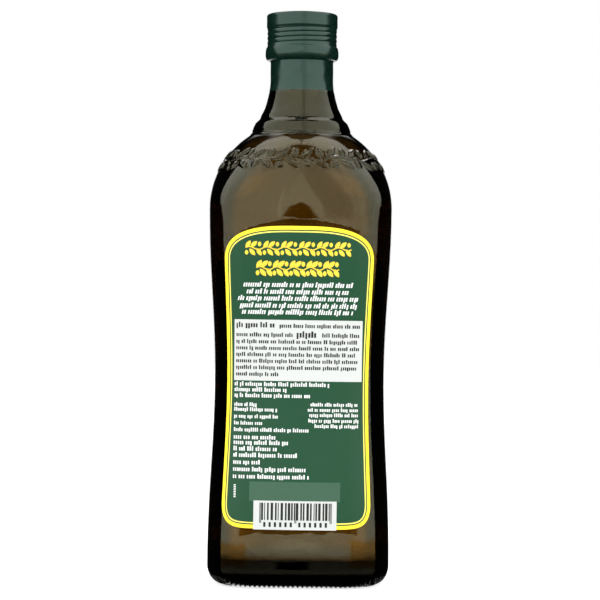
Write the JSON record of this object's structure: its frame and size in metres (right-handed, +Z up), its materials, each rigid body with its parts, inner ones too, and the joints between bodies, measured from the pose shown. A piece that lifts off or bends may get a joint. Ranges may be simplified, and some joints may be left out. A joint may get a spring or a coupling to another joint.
{
  "type": "olive oil bottle",
  "caption": "Tall glass bottle with a square, soft-cornered, waisted body and a ringed neck, full of oil, closed by a capped shrink capsule, with a label on front and back.",
  "frame": {"origin": "centre of the base, on the surface that the bottle stands on", "axes": "+Z up along the bottle's axis, -Y out of the back label, +Y out of the front label, +X to the right when facing the back label"},
  "size_m": [0.0848, 0.0858, 0.262],
  "materials": {
    "bottle_glass": "very dark olive-brown glass, fire polished",
    "oil": "clear golden-green oil",
    "cap": "dark green lacquered aluminium",
    "film": "dark green shrink film, glossy, slightly uneven over the thread",
    "label_paper": "coated paper, green with a yellow border, varnished"
  },
  "bodies": {
    "root": {"glass_bottle": "bottle_glass", "olive_oil": "oil", "screw_cap": "cap", "shrink_capsule": "film", "back_label": "label_paper", "front_label": "label_paper"}
  },
  "joints": []
}
